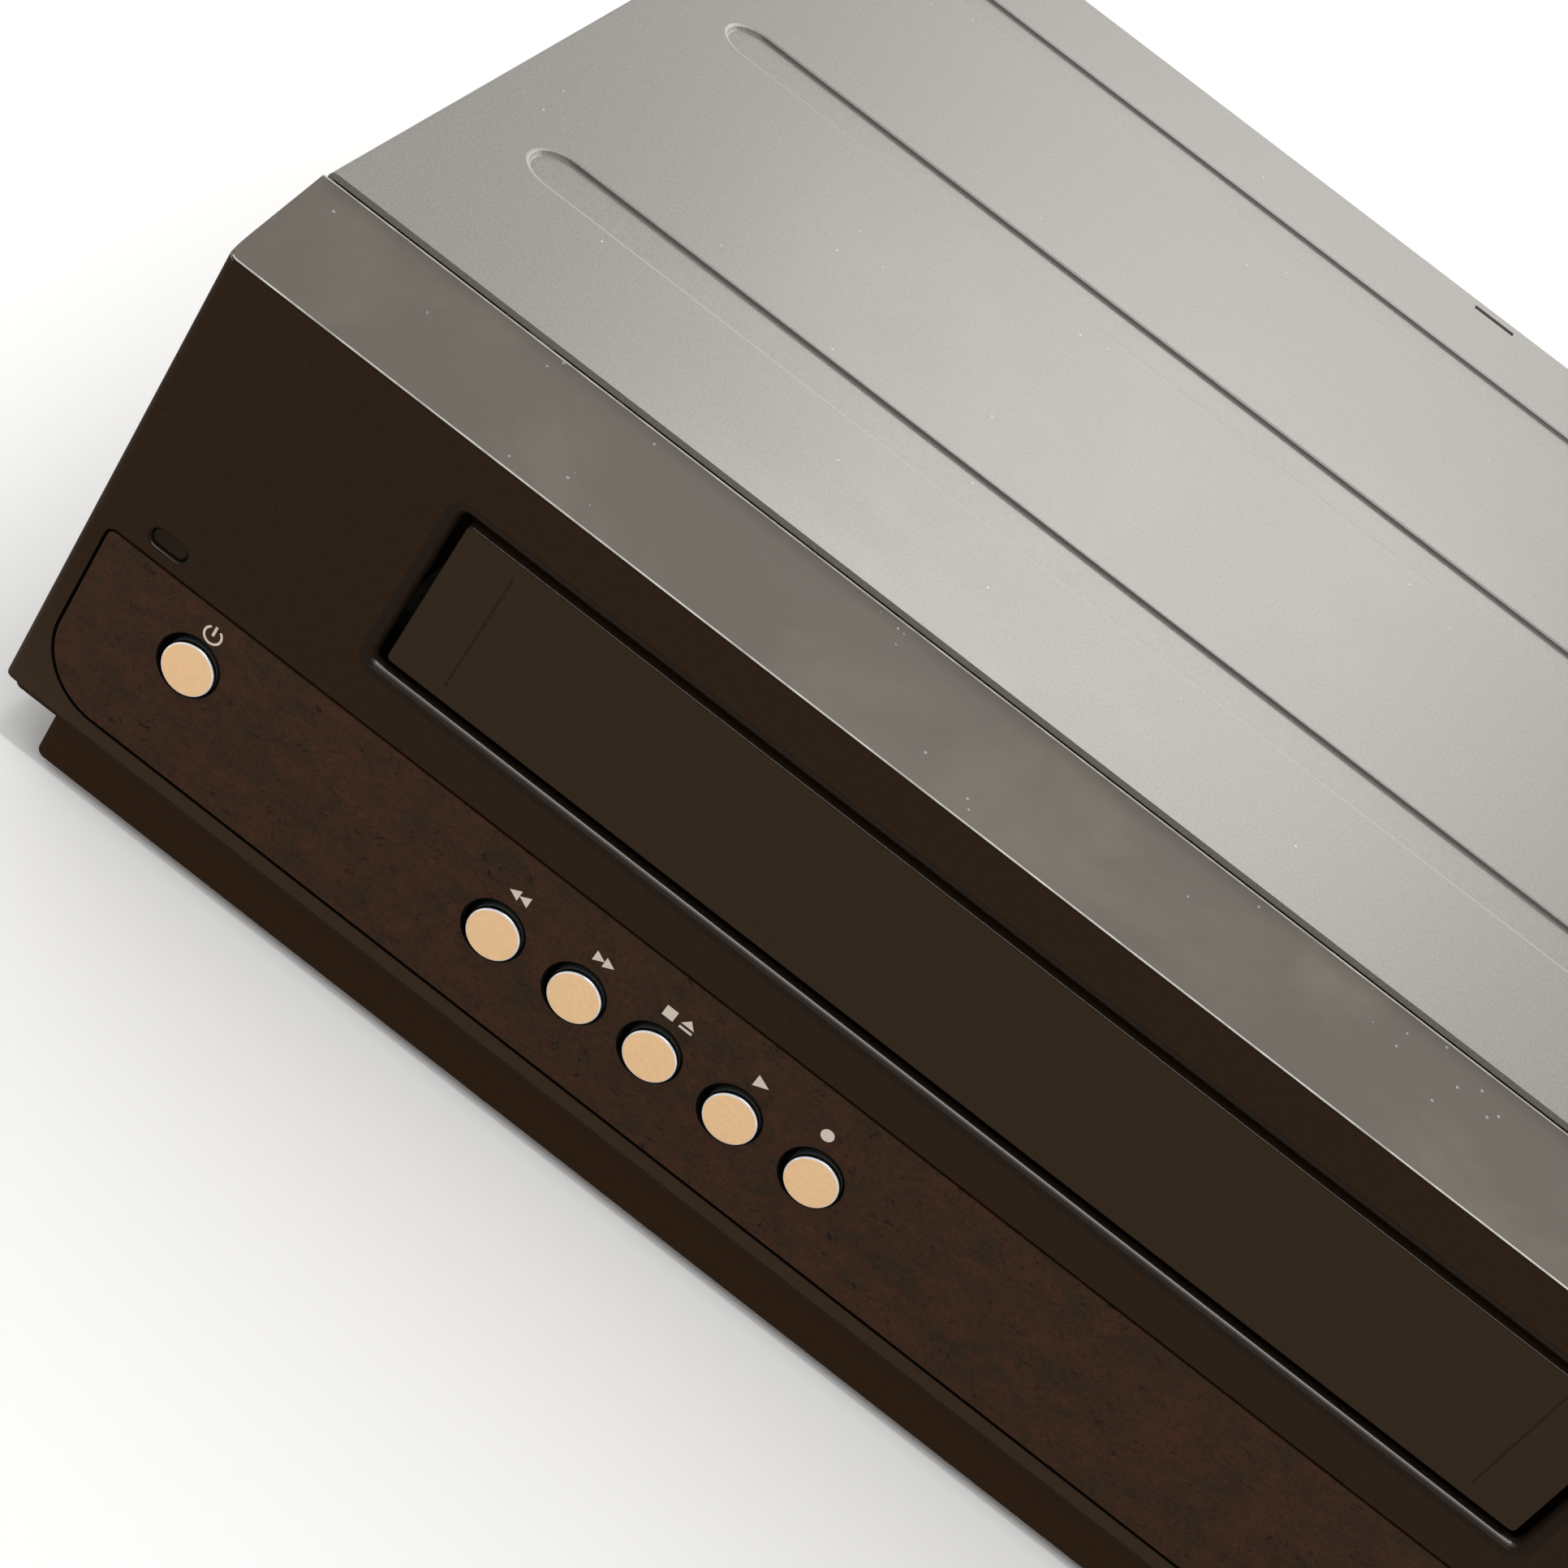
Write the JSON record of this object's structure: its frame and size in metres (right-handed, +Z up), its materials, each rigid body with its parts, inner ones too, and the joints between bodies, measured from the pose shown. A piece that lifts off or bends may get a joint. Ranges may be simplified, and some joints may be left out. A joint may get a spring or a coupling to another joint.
{
  "type": "vhs video cassette recorder",
  "caption": "Full-width front-loading video cassette recorder with a spring flap, round push buttons, a mottled trim strip, a working tape deck and rear sockets under a beaded steel cover.",
  "frame": {"origin": "middle of the footprint, on the plane that the feet rest on", "axes": "+X to the right seen from the front, +Y to the back, +Z up"},
  "size_m": [0.4378, 0.2592, 0.0995],
  "materials": {
    "cover_paint": "satin light warm grey paint with a fine speckle",
    "pan_steel": "zinc-plated sheet",
    "rear_steel": "satin black paint",
    "bezel_plastic": "fine-grained dark brown moulding, smoother on its sloped band",
    "door_plastic": "fine-grained dark brown moulding",
    "mottled_trim": "mottled brown printed film",
    "foot_rubber": "matt black rubber",
    "gold_button": "satin peach-gold face with a bright side wall",
    "lamp_plastic": "dark glossy lamp window",
    "smoked_window": "smoked glossy window",
    "display_glass": "dark green display glass",
    "board_laminate": "brown paper laminate",
    "black_plastic": "black moulding",
    "white_resin": "natural low-friction resin",
    "capacitor_sleeve": "shrunk sleeve",
    "transformer_tape": "wound tape over a laminated core",
    "sink_aluminium": "extruded",
    "tuner_steel": "tinned sheet",
    "deck_steel": "zinc-plated sheet",
    "drum_aluminium": "fine turned",
    "bright_steel": "ground",
    "screw_steel": "dark plated"
  },
  "bodies": {
    "machine_body": {"top_cover": "cover_paint", "bottom_pan": "pan_steel", "rear_panel": "rear_steel", "front_panel": "bezel_plastic", "trim_insert": "mottled_trim", "foot_front_left": "foot_rubber", "foot_front_right": "foot_rubber", "foot_rear_left": "foot_rubber", "foot_rear_right": "foot_rubber", "drive_belt": "foot_rubber", "led_window": "lamp_plastic", "display_window": "smoked_window", "display_module": "display_glass", "main_board": "board_laminate", "key_board": "board_laminate", "front_jacks": "black_plastic", "rear_jack_block": "black_plastic", "mains_inlet": "black_plastic", "loading_motor": "black_plastic", "erase_head": "black_plastic", "main_capacitor": "capacitor_sleeve", "power_transformer": "transformer_tape", "heat_sink": "sink_aluminium", "tuner_can": "tuner_steel", "deck_chassis": "deck_steel", "carriage_bracket_left": "deck_steel", "carriage_bracket_right": "deck_steel", "lower_drum": "drum_aluminium", "capstan_housing": "drum_aluminium", "audio_head": "drum_aluminium", "door_spring": "bright_steel", "cover_screw_left": "screw_steel", "cover_screw_right": "screw_steel", "rear_screw_left": "screw_steel", "rear_screw_right": "screw_steel"},
    "capstan_flywheel": {"capstan_flywheel": "bright_steel"},
    "carriage": {"carriage": "deck_steel"},
    "cassette_holder": {"cassette_holder": "deck_steel"},
    "channel_down_button": {"channel_down_button": "gold_button"},
    "channel_up_button": {"channel_up_button": "gold_button"},
    "clutch_gear": {"clutch_gear": "black_plastic"},
    "fast_forward_button": {"fast_forward_button": "gold_button"},
    "idler_arm": {"idler_arm": "white_resin"},
    "idler_gear": {"idler_gear": "white_resin"},
    "loading_gear": {"loading_gear": "white_resin"},
    "loading_pinion": {"loading_pinion": "white_resin"},
    "pinch_arm": {"pinch_arm": "black_plastic"},
    "pinch_roller": {"pinch_roller": "foot_rubber"},
    "play_button": {"play_button": "gold_button"},
    "power_button": {"power_button": "gold_button"},
    "record_button": {"record_button": "gold_button"},
    "rewind_button": {"rewind_button": "gold_button"},
    "stop_eject_button": {"stop_eject_button": "gold_button"},
    "supply_guide": {"supply_guide": "white_resin"},
    "supply_reel": {"supply_reel": "black_plastic"},
    "takeup_guide": {"takeup_guide": "white_resin"},
    "takeup_reel": {"takeup_reel": "black_plastic"},
    "tension_arm": {"tension_arm": "deck_steel"},
    "upper_drum": {"upper_drum": "drum_aluminium"},
    "cassette_door": {"cassette_door": "door_plastic"}
  },
  "joints": [
    {"name": "door_hinge", "type": "hinge", "parent": "machine_body", "child": "cassette_door", "pos_m": [-0.0741, -0.12365, 0.086], "axis": [1, 0, 0], "range_deg": [0, 88], "stiffness_Nm_per_rad": 0.02},
    {"name": "power_button_travel", "type": "slide", "parent": "machine_body", "child": "power_button", "axis": [0, 1, 0], "range_m": [0, 0.0008], "stiffness_N_per_m": 400},
    {"name": "rewind_button_travel", "type": "slide", "parent": "machine_body", "child": "rewind_button", "axis": [0, 1, 0], "range_m": [0, 0.0008], "stiffness_N_per_m": 400},
    {"name": "fast_forward_button_travel", "type": "slide", "parent": "machine_body", "child": "fast_forward_button", "axis": [0, 1, 0], "range_m": [0, 0.0008], "stiffness_N_per_m": 400},
    {"name": "stop_eject_button_travel", "type": "slide", "parent": "machine_body", "child": "stop_eject_button", "axis": [0, 1, 0], "range_m": [0, 0.0008], "stiffness_N_per_m": 400},
    {"name": "play_button_travel", "type": "slide", "parent": "machine_body", "child": "play_button", "axis": [0, 1, 0], "range_m": [0, 0.0008], "stiffness_N_per_m": 400},
    {"name": "record_button_travel", "type": "slide", "parent": "machine_body", "child": "record_button", "axis": [0, 1, 0], "range_m": [0, 0.0008], "stiffness_N_per_m": 400},
    {"name": "channel_down_button_travel", "type": "slide", "parent": "machine_body", "child": "channel_down_button", "axis": [0, 1, 0], "range_m": [0, 0.0008], "stiffness_N_per_m": 400},
    {"name": "channel_up_button_travel", "type": "slide", "parent": "machine_body", "child": "channel_up_button", "axis": [0, 1, 0], "range_m": [0, 0.0008], "stiffness_N_per_m": 400},
    {"name": "carriage_slide", "type": "slide", "parent": "machine_body", "child": "carriage", "axis": [0, 1, 0], "range_m": [0, 0.06]},
    {"name": "holder_drop", "type": "slide", "parent": "carriage", "child": "cassette_holder", "axis": [0, 0, -1], "range_m": [0, 0.025]},
    {"name": "drum_spin", "type": "hinge", "parent": "machine_body", "child": "upper_drum", "pos_m": [-0.0741, 0.06585, 0.0466], "axis": [-0.1038, 0, 0.9946], "continuous": true},
    {"name": "capstan_spin", "type": "hinge", "parent": "machine_body", "child": "capstan_flywheel", "pos_m": [-0.0001, 0.03385, 0.03], "axis": [0, 0, 1], "continuous": true},
    {"name": "clutch_spin", "type": "hinge", "parent": "machine_body", "child": "clutch_gear", "pos_m": [-0.0741, -0.01615, 0.03], "axis": [0, 0, 1], "continuous": true},
    {"name": "idler_swing", "type": "hinge", "parent": "machine_body", "child": "idler_arm", "pos_m": [-0.0741, -0.01615, 0.032], "axis": [0, 0, 1], "range_deg": [-40, 40]},
    {"name": "idler_spin", "type": "hinge", "parent": "idler_arm", "child": "idler_gear", "pos_m": [-0.0741, -0.0345, 0.032], "axis": [0, 0, 1], "continuous": true},
    {"name": "supply_reel_spin", "type": "hinge", "parent": "machine_body", "child": "supply_reel", "pos_m": [-0.12015, -0.03115, 0.032], "axis": [0, 0, 1], "continuous": true},
    {"name": "takeup_reel_spin", "type": "hinge", "parent": "machine_body", "child": "takeup_reel", "pos_m": [-0.02805, -0.03115, 0.032], "axis": [0, 0, 1], "continuous": true},
    {"name": "pinch_swing", "type": "hinge", "parent": "machine_body", "child": "pinch_arm", "pos_m": [0.011, 0.00805, 0.034], "axis": [0, 0, -1], "range_deg": [0, 42]},
    {"name": "pinch_roller_spin", "type": "hinge", "parent": "pinch_arm", "child": "pinch_roller", "pos_m": [-0.0141, 0.01185, 0.044], "axis": [0, 0, 1], "continuous": true},
    {"name": "loading_gear_turn", "type": "hinge", "parent": "machine_body", "child": "loading_gear", "pos_m": [-0.1481, 0.07985, 0.029], "axis": [0, 0, 1], "range_deg": [0, 240]},
    {"name": "loading_pinion_turn", "type": "hinge", "parent": "machine_body", "child": "loading_pinion", "pos_m": [-0.1724, 0.07985, 0.029], "axis": [0, 0, 1], "range_deg": [-720, 0]},
    {"name": "supply_guide_load", "type": "hinge", "parent": "machine_body", "child": "supply_guide", "pos_m": [-0.0741, 0.04085, 0.03], "axis": [0, 0, -1], "range_deg": [0, 90]},
    {"name": "takeup_guide_load", "type": "hinge", "parent": "machine_body", "child": "takeup_guide", "pos_m": [-0.0741, 0.04085, 0.03], "axis": [0, 0, 1], "range_deg": [0, 90]},
    {"name": "tension_swing", "type": "hinge", "parent": "machine_body", "child": "tension_arm", "pos_m": [-0.1581, 0.01785, 0.034], "axis": [0, 0, 1], "range_deg": [0, 22], "stiffness_Nm_per_rad": 0.01}
  ],
  "couplings": [
    {"joint": "clutch_spin", "follows": "capstan_spin", "ratio": 0.5},
    {"joint": "idler_spin", "follows": "capstan_spin", "ratio": -0.4},
    {"joint": "loading_pinion_turn", "follows": "loading_gear_turn", "ratio": -3},
    {"joint": "supply_guide_load", "follows": "loading_gear_turn", "ratio": 0.375},
    {"joint": "takeup_guide_load", "follows": "loading_gear_turn", "ratio": 0.375}
  ]
}
